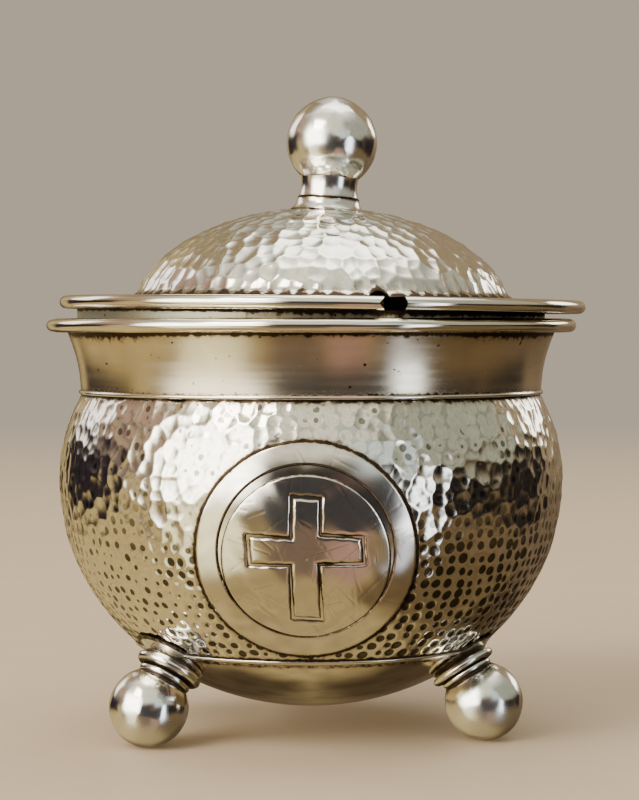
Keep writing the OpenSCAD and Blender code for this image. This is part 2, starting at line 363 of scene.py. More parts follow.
# the dark brown of tarnish, also used to paint the shade under the flange and under the rim
TARNISH_AND_SHADE = (0.050, 0.031, 0.017, 1)
# near-black for dark dent centres: dirt, and a painted reflection of the shaded table under the pot
DENT_DARK = (0.012, 0.008, 0.005, 1)
BLOOM_AND_SHADE = (0.42, 0.30, 0.16, 1)


def darker(colour, part):
    return tuple(part * c for c in colour[:3]) + (1,)


def metal(n, tone, roughness, height, strength, *more):
    """Ends a tree as bare metal, with a fine relief that follows height."""
    bump = n.add("Bump", ("Strength", strength), ("Distance", 0.03 * MM), ("Height", height))
    shader = n.add(
        "BsdfPrincipled",
        ("Base Color", tone), ("Roughness", roughness), ("Metallic", 1.0),
        ("Normal", bump.outputs[0]), *more,
    )
    n.add("OutputMaterial", ("Surface", shader.outputs[0]))


def silver(name, colour, rough, mark_darkening=0.0, wander=0.05):
    """Polished silver. The grime mark turns it to tarnish, and the dent darkening darkens dents: dirt,
    and a painted reflection of the shaded table.
    """
    material, n, where = new_material(name)
    material["slot"] = name
    grime_and_shade = n.add("Attribute", attribute_name="grime_and_shade").outputs["Fac"]
    dent = n.add("Attribute", attribute_name="dent").outputs["Fac"]
    cloud = n.noise(where, 45, 4, 0.55)
    speck = n.noise(where, 900, 3, 0.6)
    place = n.add("SeparateXYZ", ("Vector", where)).outputs
    # dark spots in the dents low down, fewer and smaller towards the left: partly dirt, partly a painted
    # reflection of the dark, shaded table below and to the right
    low = n.ramp(place["Z"], 34 * MM, 54 * MM, 1.0, 0.0)
    toward_left = n.ramp(place["X"], -35 * MM, 25 * MM, 0.2, -0.06)
    dirt_and_reflection = n.ramp(n.maths("SUBTRACT", dent, toward_left), 0.60, 0.72)
    dirt_and_reflection = n.maths("MULTIPLY", n.maths("MULTIPLY", dirt_and_reflection, low), n.ramp(cloud, 0.26, 0.40))
    # and in the very bottom of some dents anywhere
    some = n.ramp(n.noise(where, 240, 1, 0.4), 0.50, 0.56, 0.0, 0.8)
    dirt_and_reflection = n.maths("MAXIMUM", dirt_and_reflection, n.maths("MULTIPLY", n.ramp(dent, 0.84, 0.93), some))
    dirt_and_reflection = n.maths("MULTIPLY", dirt_and_reflection, mark_darkening)
    # grime ends in a ragged edge with a brown halo
    ragged = n.maths("ADD", grime_and_shade, n.maths("MULTIPLY", n.maths("SUBTRACT", speck, 0.5), 0.9))
    edge = n.ramp(ragged, 0.32, 0.62)
    halo = n.maths("MULTIPLY", n.ramp(grime_and_shade, 0.03, 0.5), 0.55)
    tone = n.mix(n.ramp(cloud, 0.35, 0.75), colour, darker(colour, 0.93))
    tone = n.mix(halo, tone, BLOOM_AND_SHADE)
    # the ridges between the dents of the upper half are a little duller
    upper = n.ramp(place["Z"], 38 * MM, 46 * MM)
    ridge = n.maths("MULTIPLY", n.ramp(dent, 0.0, 0.2, 0.5, 0.0), upper)
    tone = n.mix(n.maths("MULTIPLY", ridge, mark_darkening), tone, darker(colour, 0.35))
    tone = n.mix(edge, tone, TARNISH_AND_SHADE)
    tone = n.mix(dirt_and_reflection, tone, DENT_DARK)
    polish = n.ramp(cloud, 0.3, 0.7, rough, rough + wander)
    # the undersides of the feet and of the bowl are never rubbed
    polish = n.maths("ADD", polish, n.ramp(place["Z"], 3 * MM, 8.5 * MM, 0.2, 0.0))
    roughness = n.maths("ADD", polish, n.maths("MULTIPLY", edge, 0.35), clamp=True)
    metal(n, tone, roughness, n.noise(where, 2600, 2, 0.5), 0.05)
    return material


def satin(name, colour, rough):
    """Silver rubbed round and round: fine level scratches, pits, and tarnish by the grime mark, which on
    the lip and at the top of the neck is partly painted shade.
    """
    material, n, where = new_material(name)
    material["slot"] = name
    grime_and_shade = n.add("Attribute", attribute_name="grime_and_shade").outputs["Fac"]
    stretched = n.add("Mapping", ("Vector", where), ("Scale", (30, 30, 4200))).outputs[0]
    scratch = n.noise(stretched, 1.0, 4, 0.7)
    broad = n.add("Mapping", ("Vector", where), ("Scale", (22, 22, 900))).outputs[0]
    rub = n.noise(broad, 1.0, 3, 0.6)
    cloud = n.noise(where, 55, 4, 0.6)
    speck = n.noise(where, 800, 3, 0.6)
    pits = n.ramp(n.noise(where, 1050, 1, 0.3), 0.755, 0.77)
    ragged = n.maths("ADD", grime_and_shade, n.maths("MULTIPLY", n.maths("SUBTRACT", speck, 0.5), 1.1))
    stain_and_shade = n.maths("MAXIMUM", n.ramp(ragged, 0.34, 0.66), pits)
    halo = n.maths("MULTIPLY", n.ramp(grime_and_shade, 0.03, 0.6), 0.6)
    tone = n.mix(n.ramp(cloud, 0.4, 0.7), colour, darker(colour, 0.86))
    tone = n.mix(n.maths("MULTIPLY", rub, 0.14), tone, darker(colour, 0.7))
    tone = n.mix(halo, tone, BLOOM_AND_SHADE)
    tone = n.mix(stain_and_shade, tone, TARNISH_AND_SHADE)
    worn = n.ramp(rub, 0.3, 0.7, rough - 0.02, rough + 0.05)
    roughness = n.maths("ADD", worn, n.maths("MULTIPLY", stain_and_shade, 0.3), clamp=True)
    metal(n, tone, roughness, scratch, 0.12, ("Anisotropic", 0.6), ("Anisotropic Rotation", 0.25))
    return material


HAMMERED = silver("hammered_silver", (0.91, 0.85, 0.73, 1), 0.09, mark_darkening=0.9)
# paler and cooler than the bowl's silver: painted light, so the dome's highlights come out whiter
HAMMERED_LID = silver("hammered_silver_lid", (0.94, 0.91, 0.83, 1), 0.13)
POLISHED = silver("polished_silver", (0.92, 0.89, 0.82, 1), 0.12, wander=0.08)
RIM = silver("polished_rim", (0.92, 0.86, 0.73, 1), 0.10)
WIRE = silver("polished_wire", (0.90, 0.87, 0.79, 1), 0.12)
ENGRAVED = silver("medallion_silver", (0.91, 0.85, 0.74, 1), 0.10, wander=0.08)
SATIN = satin("satin_silver", (0.83, 0.73, 0.56, 1), 0.22)
# a dark, greenish copy of the satin silver for the lip and the bezel: painted shade and a painted
# grey-green reflection for the gap under the lid
SHADED_SILVER = satin("dull_silver", (0.38, 0.40, 0.33, 1), 0.5)
STEEL = satin("plain_steel", (0.50, 0.50, 0.51, 1), 0.30)


# ---------------------------------------------------------------- mesh building

def smoothstep(x, low, high):
    t = np.clip((x - low) / (high - low), 0, 1)
    return t * t * (3 - 2 * t)


def even(points, step):
    """The same open outline with its points an even step apart."""
    points = np.array(points, float)
    length = np.concatenate([[0], np.cumsum(np.hypot(*np.diff(points, axis=0).T))])
    at = np.linspace(0, length[-1], max(2, round(length[-1] / step) + 1))
    return np.stack([np.interp(at, length, points[:, i]) for i in (0, 1)], axis=1)


def joined(*stretches):
    """Open stretches of an outline, end to end, without doubled points."""
    points = np.concatenate([np.array(s, float) for s in stretches])
    keep = np.ones(len(points), bool)
    keep[1:] = np.hypot(*np.diff(points, axis=0).T) > 1e-7
    return points[keep]


def arc(centre, radius, start, end, count=12):
    """Points on a circle, from angle start to end in degrees, counted from outwards to up."""
    t = np.radians(np.linspace(start, end, count + 1))
    return np.stack([centre[0] + radius * np.cos(t), centre[1] + radius * np.sin(t)], axis=1)


def outward(outline, loop):
    """The outline's normals, for an outline that goes up on its outside."""
    if loop:
        step = np.roll(outline, -1, axis=0) - np.roll(outline, 1, axis=0)
    else:
        step = np.gradient(outline, axis=0)
    normal = np.stack([step[:, 1], -step[:, 0]], axis=1)
    return normal / np.maximum(np.hypot(*normal.T), 1e-12)[:, None]


def ripple(angle, size, seed, waves=(2, 3, 4, 5, 7, 9)):
    """A gentle waver round a turned piece, as hand work leaves it."""
    rng = np.random.default_rng(seed)
    total = np.zeros_like(angle)
    for k in waves:
        total += rng.uniform(-1, 1) * np.sin(k * angle + rng.uniform(0, TAU)) / k
    return size * total


def grid_faces(rows, n, loop, poles):
    """Quads between rows of n points, and a fan of triangles at each pole."""
    i = np.arange(n)
    nxt = (i + 1) % n
    faces = []
    for j in range(rows if loop else rows - 1):
        a, b = j * n, (j + 1) % rows * n
        faces += np.stack([a + i, a + nxt, b + nxt, b + i], axis=1).tolist()
    if poles:
        bottom, top = poles
        last = (rows - 1) * n
        faces += np.stack([np.full(n, bottom), nxt, i], axis=1).tolist()
        faces += np.stack([np.full(n, top), last + i, last + nxt], axis=1).tolist()
    return faces


CREASE = math.radians(55)  # edges that turn more than this stay crisp


def add_piece(name, points, faces, material, body, marks, nodes):
    """A smooth piece that rides on a body and stands for CAD nodes. marks are per point."""
    mesh = bpy.data.meshes.new(name)
    mesh.from_pydata(points.tolist(), [], faces)
    for mark, values in marks.items():
        layer = mesh.attributes.new(mark, "FLOAT", "POINT")
        layer.data.foreach_set("value", np.ascontiguousarray(values, np.float32).ravel())
    mesh.polygons.foreach_set("use_smooth", [True] * len(mesh.polygons))
    mesh.materials.append(material)
    mesh.update()
    mesh.set_sharp_from_angle(angle=CREASE)
    obj = bpy.data.objects.new(name, mesh)
    bpy.context.scene.collection.objects.link(obj)
    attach(obj, body)
    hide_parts(*nodes)


def moved(points, place):
    """Points carried by a matrix."""
    matrix = np.array(place)
    return points @ matrix[:3, :3].T + matrix[:3, 3]


def revolve(
    name, outline, columns, material, body, nodes,
    place=None, push=None, grime_and_shade=None, dent=None, warp=None,
):
    """A turned piece. The outline is (radius, height) points that go up on the outside: a loop, or from
    one point on the axis to another. columns is how many points go round, or their angles. push moves
    the surface out along its normals, warp changes the points, and place carries them to the frame."""
    outline = np.array(outline, float)
    angle = np.arange(columns) * TAU / columns if np.isscalar(columns) else columns
    n = len(angle)
    on_axis = outline[0, 0] < 1e-9 and outline[-1, 0] < 1e-9
    normal = outward(outline, not on_axis)
    shown = slice(1, -1) if on_axis else slice(None)
    ring, normal = outline[shown], normal[shown]
    rows = len(ring)
    push = np.zeros((rows, n)) if push is None else np.broadcast_to(push, (rows, n))
    radius = ring[:, :1] + push * normal[:, :1]
    height = ring[:, 1:] + push * normal[:, 1:]
    points = np.stack([radius * np.cos(angle), radius * np.sin(angle), height], axis=2).reshape(-1, 3)
    marks = {}
    for mark, values in (("grime_and_shade", grime_and_shade), ("dent", dent)):
        full = np.zeros((rows, n)) if values is None else np.broadcast_to(values, (rows, n))
        marks[mark] = full.ravel()
    poles = None
    if on_axis:
        ends = [[0, 0, outline[0, 1]], [0, 0, outline[-1, 1]]]
        points = np.concatenate([points, ends])
        poles = (rows * n, rows * n + 1)
        marks = {mark: np.concatenate([v, [0, 0]]) for mark, v in marks.items()}
    faces = grid_faces(rows, n, not on_axis, poles)
    if warp is not None:
        points = warp(points)
    if place is not None:
        points = moved(points, place)
    add_piece(name, points, faces, material, body, marks, nodes)


def hammered(outline, n, spacing, cup, seed, first, last, stray=0.23, tip=0.05, uneven=0.12):
    """Planishing marks on a turned surface: how far each grid point is pushed out, and how deep it
    lies in its mark, 0 on the ridges to 1 at the centre. Marks lie between rows first and last.
    stray is how unevenly they are spaced, tip how far each leans, as a slope, and uneven how much
    their depths differ."""
    rng = np.random.default_rng(seed)
    along = np.concatenate([[0], np.cumsum(np.hypot(*np.diff(outline, axis=0).T))])
    radius = outline[:, 0]
    angle = np.arange(n) * TAU / n
    depth = spacing**2 / (8 * cup)
    soft = 0.03 * depth
    reach = 1.35 * spacing
    total = np.full((len(outline), n), 1e-30)
    mark = np.full((len(outline), n), 10.0)
    row_gap = 0.92 * spacing
    for line, s in enumerate(np.arange(along[first] - row_gap, along[last] + row_gap, row_gap)):
        r = float(np.interp(s, along, radius))
        count = max(6, round(TAU * r / spacing))
        phase = TAU / count * (line % 2 / 2 + rng.uniform(-0.12, 0.12))
        for k in range(count):
            turn = (phase + TAU * (k + rng.uniform(-stray, stray)) / count) % TAU
            at = s + rng.uniform(-stray, stray) * spacing
            lean, stretch = rng.uniform(0, math.pi), rng.uniform(1.0, 1.1)
            level = rng.uniform(-uneven, uneven) * depth
            tip_across, tip_up = rng.normal(0, tip, 2)
            curve = cup * rng.uniform(0.88, 1.25)
            rows = np.nonzero(np.abs(along - at) < reach)[0]
            if not len(rows):
                continue
            span = int(reach / max(r, MM) / TAU * n) + 1
            middle = round(turn / TAU * n)
            columns = np.arange(middle - span, middle + span + 1) % n
            across = ((angle[columns] - turn + math.pi) % TAU - math.pi)[None, :] * radius[rows][:, None]
            up = 0.93 * (along[rows] - at)[:, None]
            u = (across * math.cos(lean) + up * math.sin(lean)) / stretch
            v = (up * math.cos(lean) - across * math.sin(lean)) * stretch
            height = (u * u + v * v) / (2 * curve) + level
            here = np.ix_(rows, columns)
            mark[here] = np.minimum(mark[here], height)
            total[here] += np.exp(-(height + tip_across * across + tip_up * up) / soft)
    deepest = 1.6 * depth + 1.5 * tip * spacing
    height = np.clip(-soft * np.log(total) - deepest, -2 * deepest, 0)
    return height, np.clip(1 - mark / depth, 0, 1)


# ---------------------------------------------------------------- the vessel

def bowl_radius(z, grow=0.0):
    """The bowl's outer radius at a height, its surface grown outwards by grow."""
    curve = np.where(z < BELLY_Z, BOWL_DROP, BOWL_RISE) + grow
    return (BELLY_R + grow) * np.sqrt(np.clip(1 - ((z - BELLY_Z) / curve) ** 2, 0, 1))


def bowl_side(grow):
    """The bowl's outline from its lowest point up to the neck."""
    end = math.asin((NECK_Z - BELLY_Z) / (BOWL_RISE + grow))
    t = np.linspace(-math.pi / 2, end, 900)
    curve = np.where(t < 0, BOWL_DROP, BOWL_RISE) + grow
    side = np.stack([(BELLY_R + grow) * np.cos(t), BELLY_Z + curve * np.sin(t)], axis=1)
    side[0, 0] = 0
    return side


def on_bowl(across, height, grow):
    """Points on the grown bowl's front, level with the medallion, and turned with it."""
    radius = bowl_radius(height, grow)
    points = np.stack([across, -np.sqrt(np.maximum(radius**2 - across**2, 0)), height], axis=-1)
    return moved(points.reshape(-1, 3), Matrix.Rotation(-MEDALLION_TURN, 4, "Z")).reshape(points.shape)


def neck_side(grow):
    f = np.linspace(0, 1, 25)
    radius = NECK_BASE_R + grow + (NECK_TOP_R - NECK_BASE_R) * f - 0.5 * MM * np.sin(math.pi * f)
    return np.stack([radius, NECK_Z + (RIM_Z - NECK_Z) * f], axis=1)


def build_bowl():
    n = BOWL_COLUMNS
    outer = bowl_side(0)
    at_wire = np.searchsorted(outer[:, 1], BASE_WIRE_Z)
    dish = even(outer[: at_wire + 1], 1.2 * MM)
    wall = even(outer[at_wire:], 0.34 * MM)
    inner = even(bowl_side(-BOWL_WALL), 2.2 * MM)[::-1]
    outline = joined(dish, wall, inner)
    first, last = len(dish) - 1, len(dish) + len(wall) - 2
    push, dent = hammered(
        outline, n, spacing=2.5 * MM, cup=8.5 * MM, seed=11, first=first, last=last,
        stray=0.17, tip=0.07, uneven=0.2,
    )
    z = outline[:, 1]
    # low down, each blow left a small steep pit
    low = smoothstep(z, 43 * MM, 34 * MM)[:, None]
    pit_depth = 0.13 * MM
    push = push * (1 - 0.6 * low) - pit_depth * low * smoothstep(dent, 0.45, 0.88)
    rows = np.arange(len(outline))
    fade = smoothstep(rows, first, first + 3) * (rows <= last) * smoothstep(z, NECK_Z + MM, NECK_Z)
    push, dent = push * fade[:, None], dent * fade[:, None]
    # the wall is left smooth under the medallion
    angle = np.arange(n) * TAU / n
    across = outline[:, :1] * np.cos(angle + MEDALLION_TURN)
    front = np.sin(angle + MEDALLION_TURN) < 0
    away = np.hypot(across, z[:, None] - MEDALLION_Z)
    clear = np.where(front, smoothstep(away, MEDALLION_R - 2 * MM, MEDALLION_R), 1)
    push, dent = push * clear, dent * clear
    # dirt lies against the wires, under the neck and round the medallion
    low_joint = 1.2 * np.exp(-np.abs(np.abs(z - BASE_WIRE_Z) - 0.45 * MM) / (0.35 * MM))
    high_joint = np.exp(-(NECK_Z - z).clip(0) / (0.9 * MM)) * (rows <= last)
    edge = np.where(front, np.exp(-np.abs(away - MEDALLION_R - 0.1 * MM) / (0.42 * MM)), 0)
    lines = np.maximum(low_joint, 1.1 * high_joint)[:, None] * (rows <= last)[:, None]
    grime_and_shade = np.maximum(lines, 1.1 * edge * (rows <= last)[:, None])
    shown = slice(1, -1)
    revolve(
        "bowl", outline, n, HAMMERED, "pot", ["bowl"],
        push=push[shown], dent=dent[shown], grime_and_shade=grime_and_shade[shown],
    )


def build_neck():
    outer = even(neck_side(0), 0.4 * MM)
    inner = neck_side(-NECK_WALL)[::-1]
    outline = joined(outer, inner)
    n = RING_COLUMNS
    angle = np.arange(n) * TAU / n
    rows = np.arange(len(outline))[:, None]
    outside = rows < len(outer)
    z = outline[:, 1:]
    reach = (0.7 + ripple(angle, 0.5, 3, range(3, 60, 4))) * MM
    low = np.exp(-(z - NECK_Z) / np.maximum(reach, 0.15 * MM))
    # the darkening under the rim is partly tarnish in the joint and partly a painted shadow of the rim's
    # overhang
    reach = (0.9 + ripple(angle, 0.9, 4, range(3, 60, 4))) * MM
    high = np.exp(-(RIM_Z - z) / np.maximum(reach, 0.2 * MM))
    waver = ripple(angle, 0.05 * MM, 5)[None, :] - 0.05 * MM
    middle = np.sin(math.pi * (z - NECK_Z) / (RIM_Z - NECK_Z)).clip(0, 1)
    revolve(
        "neck_band", outline, n, SATIN, "pot", ["neck_band"],
        push=waver * middle * outside, grime_and_shade=np.maximum(low, 1.1 * high) * outside,
    )


def bead(radius, height, half, proud):
    """A loop round the section of a half-round wire whose back lies at radius."""
    t = np.radians(np.linspace(-90, 90, 13))
    front = np.stack([radius + proud * np.cos(t), height + half * np.sin(t)], axis=1)
    back = [[radius - BEDDED, height + half], [radius - BEDDED, height - half]]
    return joined(front, back)


def build_wires():
    n = RING_COLUMNS
    angle = np.arange(n) * TAU / n
    outline = bead(NECK_BASE_R, NECK_Z, 0.45 * MM, 0.45 * MM)
    waver = ripple(angle, 0.04 * MM, 6, range(2, 40, 3))
    revolve("neck_wire", outline, n, WIRE, "pot", ["neck_wire"], push=waver - 0.03 * MM)
    # the base wire lies along the slope of the bowl
    slope = math.atan2(BELLY_R**2 * (BASE_WIRE_Z - BELLY_Z), BOWL_DROP**2 * bowl_radius(BASE_WIRE_Z))
    t = np.radians(np.linspace(-90, 90, 11))
    along, out = 0.5 * MM * np.sin(t), 0.17 * MM * np.cos(t)
    along = np.concatenate([along, [along[-1], along[0]]])
    out = np.concatenate([out, [-BEDDED, -BEDDED]])
    radius = bowl_radius(BASE_WIRE_Z) + out * math.cos(slope) - along * math.sin(slope)
    height = BASE_WIRE_Z + out * math.sin(slope) + along * math.cos(slope)
    revolve("base_wire", np.stack([radius, height], axis=1), n, WIRE, "pot", ["base_wire"], grime_and_shade=0.24)


def round_edged(inner, outer, low, high, flat=6):
    """The loop round a flat ring's section, with a half-round outer edge."""
    half = (high - low) / 2
    bottom = np.stack([np.linspace(inner, outer - half, flat), np.full(flat, low)], axis=1)
    top = np.stack([np.linspace(outer - half, inner, flat), np.full(flat, high)], axis=1)
    return joined(bottom, arc((outer - half, low + half), half, -90, 90, 16), top)


def build_rim_and_lip():
    n = RING_COLUMNS
    angle = np.arange(n) * TAU / n
    outline = round_edged(LIP_R, RIM_R, RIM_Z, RIM_TOP)
    edge = (outline[:, :1] > RIM_R - 1.4 * MM) * 1.0
    waver = (ripple(angle, 0.24 * MM, 7, range(2, 40)) - 0.16 * MM).clip(-0.4 * MM, 0)
    joint = np.exp(-np.hypot(outline[:, 0] - NECK_TOP_R, outline[:, 1] - RIM_Z) / (1.0 * MM))
    inner_joint = 0.4 * np.exp(-np.hypot(outline[:, 0] - LIP_R, outline[:, 1] - RIM_TOP) / (0.7 * MM))
    revolve(
        "rim_wire", outline, n, RIM, "pot", ["rim_wire"],
        push=edge * waver, grime_and_shade=np.maximum(joint, inner_joint)[:, None],
    )

    def sloped(points):
        """The lip's top lies in the plane of the lid's underside."""
        part = smoothstep(points[:, 2], RIM_TOP, SEAT_Z)
        points[:, 2] -= part * (points[:, 0] - LID_SHIFT) * math.tan(LID_TILT)
        return points

    low, inner = RIM_Z - MM, LIP_R - LIP_WALL
    heights = np.linspace(low, SEAT_Z, 9)
    outside = np.stack([np.full(9, LIP_R), heights], axis=1)
    inside = np.stack([np.full(9, inner), heights[::-1]], axis=1)
    outline = joined(outside, inside)
    foot = 0.35 * np.exp(-np.abs(outline[:, 1:] - RIM_TOP) / (0.5 * MM))
    # painted shadow under the flange, over the dirt there, thickest at the front right
    reach = (0.3 + 0.9 * smoothstep(np.cos(angle + math.pi / 4), 0.2, 1)) * MM
    flange_shadow = np.exp(-(SEAT_Z - outline[:, 1:]) / reach)
    revolve(
        "mouth_lip", outline, n, SHADED_SILVER, "pot", ["mouth_lip"],
        grime_and_shade=np.maximum(foot, 1.1 * flange_shadow), warp=sloped,
    )


# ---------------------------------------------------------------- the medallion

def plate(name, section, n, drop, cut, grime_and_shade, node):
    """A plate on the bowl. The section is (radius, standing-out) points: a loop, or from the axis to
    the axis. cut and grime give a depth and a mark for points across and up from its centre."""
    section = np.array(section, float)
    on_axis = section[0, 0] < 1e-9
    ring = section[1:-1] if on_axis else section
    angle = np.arange(n) * TAU / n
    across = ring[:, :1] * np.cos(angle)
    up = ring[:, :1] * np.sin(angle)
    grow = ring[:, 1:] - cut(across, up) * (ring[:, 1:] > 0)
    points = on_bowl(across, MEDALLION_Z - drop + up, grow).reshape(-1, 3)
    marks = (grime_and_shade(across, up) * (ring[:, 1:] > -0.05 * MM)).ravel()
    poles = None
    rows = len(ring)
    if on_axis:
        middle = np.zeros(1)
        ends = [on_bowl(middle, middle + MEDALLION_Z - drop, middle + section[i, 1]) for i in (0, -1)]
        points = np.concatenate([points] + ends)
        poles = (rows * n, rows * n + 1)
        marks = np.concatenate([marks, [0, 0]])
    # seen from the front, angles run the other way round the plate's own axis
    faces = [face[::-1] for face in grid_faces(rows, n, not on_axis, poles)]
    add_piece(name, points, faces, ENGRAVED, "pot", {"grime_and_shade": marks, "dent": 0 * marks}, [node])


def from_line(x, y, a, b):
    """Distance from points to the straight line between a and b."""
    ax, ay = a
    dx, dy = b[0] - ax, b[1] - ay
    t = np.clip(((x - ax) * dx + (y - ay) * dy) / (dx * dx + dy * dy), 0, 1)
    return np.hypot(x - ax - t * dx, y - ay - t * dy)


def scratches(x, y, count, reach, seed):
    """How deep fine straight tool marks lie at points, 0 to 1."""
    rng = np.random.default_rng(seed)
    total = np.zeros_like(x)
    for _ in range(count):
        cx, cy = rng.uniform(-reach, reach, 2)
        lean, half = rng.uniform(0, math.pi), rng.uniform(0.8, 4.0) * MM
        ex, ey = half * math.cos(lean), half * math.sin(lean)
        away = from_line(x, y, (cx - ex, cy - ey), (cx + ex, cy + ey))
        total = np.maximum(total, np.exp(-((away / (0.13 * MM)) ** 2)) * rng.uniform(0.2, 1))
    return total


CROSS_ARM = 2.5 * MM
CROSS_UP, CROSS_SIDE, CROSS_BAR = 10.8 * MM, 9.9 * MM, 1.5 * MM


def cross_outline():
    """Corners of the plain outlined cross, with the small errors of a hand-held graver."""
    w, u, s, b = CROSS_ARM, CROSS_UP, CROSS_SIDE, CROSS_BAR
    corners = [
        (-w, u), (w, u), (w, b + w), (s, b + w), (s, b - w), (w, b - w),
        (w, -u), (-w, -u), (-w, b - w), (-s, b - w), (-s, b + w), (-w, b + w),
    ]
    rng = np.random.default_rng(21)
    return [(x + rng.uniform(-0.3, 0.3) * MM, y + rng.uniform(-0.3, 0.3) * MM) for x, y in corners]


def build_medallion():
    proud = MEDALLION_PROUD
    back = -0.35 * MM

    # the border
    inner, outer = DISC_R + MEDALLION_GAP, MEDALLION_R
    low = [[inner, back], [inner, 0.12 * MM], [inner + 0.12 * MM, 0.3 * MM], [inner + 0.3 * MM, proud]]
    flat = [[r, proud] for r in np.linspace(inner + 0.5 * MM, outer - 0.35 * MM, 16)]
    high = [[outer - 0.15 * MM, 0.3 * MM], [outer, 0.1 * MM], [outer, back]]
    section = np.array(low + flat + high)[::-1]

    def worn(across, up):
        return 0.02 * MM * scratches(across, up, 60, MEDALLION_R, 31)

    def dirt(across, up):
        r = np.hypot(across, up)
        edge = np.exp(-np.abs(r - outer) / (0.30 * MM))
        hole = np.exp(-np.abs(r - inner) / (0.25 * MM))
        return np.maximum(edge, hole) * 1.1 + 0.2 * scratches(across, up, 60, MEDALLION_R, 31)

    plate("medallion_ring", section, PLATE_COLUMNS, 0, worn, dirt, "medallion_ring")

    # the disc
    edge = DISC_R - MEDALLION_GAP
    radii = np.linspace(0, edge - 0.3 * MM, 58)
    face = [[r, proud - 0.18 * MM * (r / edge) ** 2] for r in radii]
    rim = [[edge - 0.1 * MM, 0.12 * MM], [edge, -0.05 * MM], [edge, back], [0, back]]
    corners = cross_outline()

    def lines(across, up):
        away = np.full(across.shape, 1.0)
        for a, b in zip(corners, corners[1:] + corners[:1]):
            away = np.minimum(away, from_line(across, up, a, b))
        wobble = 0.05 * MM * (np.sin(across / (0.45 * MM)) + np.sin(up / (0.6 * MM) + 2))
        return np.exp(-((away / (0.36 * MM + wobble)) ** 2))

    def cut(across, up):
        marks = scratches(across, up, 90, DISC_R, 41)
        hollow = 0.04 * MM * (np.sin(across / (2.1 * MM) + 1) * np.sin(up / (1.7 * MM)) + 1)
        hollow += 0.02 * MM * (np.sin(across / (0.9 * MM) + up / (1.3 * MM)) + 1)
        return 0.34 * MM * lines(across, up) + 0.025 * MM * marks + hollow

    def disc_dirt(across, up):
        rim_dirt = np.exp(-(edge - np.hypot(across, up)) / (0.25 * MM))
        marks = scratches(across, up, 90, DISC_R, 41)
        return np.maximum(np.maximum(1.15 * lines(across, up), 1.1 * rim_dirt), 0.35 * marks)

    section = np.array(face + rim)[::-1]
    plate("medallion_disc", section, PLATE_COLUMNS, DISC_DROP, cut, disc_dirt, "medallion_disc")


# ---------------------------------------------------------------- the feet

def stem_length(place):
    """How far a foot's stem runs from the ball's centre to the bowl."""
    along = np.linspace(7, 12, 200) * MM
    points = moved(np.stack([0 * along, 0 * along, along], axis=1), place)
    outside = np.hypot(points[:, 0], points[:, 1]) > bowl_radius(points[:, 2])
    return along[outside].max()


def build_foot(side, seed):
    turn, small_at, large_at, seat_at = FEET[side]
    centre = math.sqrt(BALL_R**2 - BALL_FLAT_R**2)
    place = (
        Matrix.Translation((-FOOT_SHIFT, 0, 0))
        @ Matrix.Rotation(turn, 4, "Z")
        @ Matrix.Translation((0, -FOOT_CIRCLE_R, centre))
        @ Matrix.Rotation(-FOOT_LEAN, 4, "X")
    )
    to_bowl = stem_length(place)

    def stood(points):
        """Carried to the frame, with the ball worn flat on the table."""
        points = moved(points, place)
        points[:, 2] = np.maximum(points[:, 2], 0)
        return points

    n = FOOT_COLUMNS
    ball = arc((0, 0), BALL_R, -90, 72, 90)
    stem_top = to_bowl + 0.6 * MM
    stem = [[STEM_R, 7.1 * MM], [STEM_R, stem_top], [0, stem_top]]
    outline = joined(ball, stem)
    outline[0, 0] = 0
    push = hammered(
        outline, n, spacing=3.6 * MM, cup=42 * MM, seed=seed, first=0, last=len(ball) - 1,
        stray=0.3, tip=0.012,
    )[0]
    push = push * smoothstep(outline[:, 1], 7.0 * MM, 5.0 * MM)[:, None]
    push = push * smoothstep(outline[:, 0], 2 * MM, 5.5 * MM)[:, None]
    shown = slice(1, -1)
    joint = np.exp(-np.abs(outline[:, 1:] - 5.4 * MM) / (0.5 * MM)) * (outline[:, :1] > 3 * MM)
    revolve(
        f"foot_ball_{side}", outline, n, POLISHED, "pot", [f"foot_ball_{side}"],
        push=push[shown], grime_and_shade=joint[shown], warp=stood,
    )
    angle = np.arange(n) * TAU / n
    waver = ripple(angle, 0.10 * MM, seed + 1)[None, :]
    # the small ring's foot is hidden in the ball
    small_foot = small_at - 0.6 * MM
    half = (large_at - small_foot) / 2
    small = joined(
        [[STEM_R, small_foot], [4.5 * MM, small_foot]],
        arc((SMALL_RING_R - half, large_at - half), half, -80, 80, 12),
        [[4.5 * MM, large_at], [STEM_R, large_at]],
    )
    groove = 0.8 * np.exp(-np.abs(small[:, 1:] - large_at) / (0.22 * MM))
    revolve(
        f"foot_ring_small_{side}", small, n, POLISHED, "pot", [f"foot_ring_small_{side}"],
        place=place, push=waver * (small[:, :1] > 4.6 * MM), grime_and_shade=groove,
    )
    large = round_edged(STEM_R, LARGE_RING_R, large_at, seat_at, 3)
    near = np.minimum(np.abs(large[:, 1:] - large_at), np.abs(large[:, 1:] - seat_at))
    revolve(
        f"foot_ring_large_{side}", large, n, POLISHED, "pot", [f"foot_ring_large_{side}"],
        place=place, push=waver * (large[:, :1] > 5 * MM), grime_and_shade=0.8 * np.exp(-near / (0.22 * MM)),
    )
    f = np.linspace(0, 1, 12)
    seat_top = to_bowl + MM
    flare = np.stack([SEAT_R + SEAT_FLARE * f**1.7, seat_at + (seat_top - seat_at) * f], axis=1)
    seat = joined([[STEM_R, seat_at]], flare, [[STEM_R, seat_top]])
    groove = 0.8 * np.exp(-np.abs(seat[:, 1:] - seat_at) / (0.22 * MM))
    groove += 0.6 * (seat[:, 1:] > seat_top - 0.4 * MM)
    revolve(
        f"foot_seat_{side}", seat, n, POLISHED, "pot", [f"foot_seat_{side}"],
        place=place, push=waver * (seat[:, :1] > 5 * MM), grime_and_shade=groove,
    )


# ---------------------------------------------------------------- the lid

SLOT_AT = -math.pi / 2 + SLOT_TURN


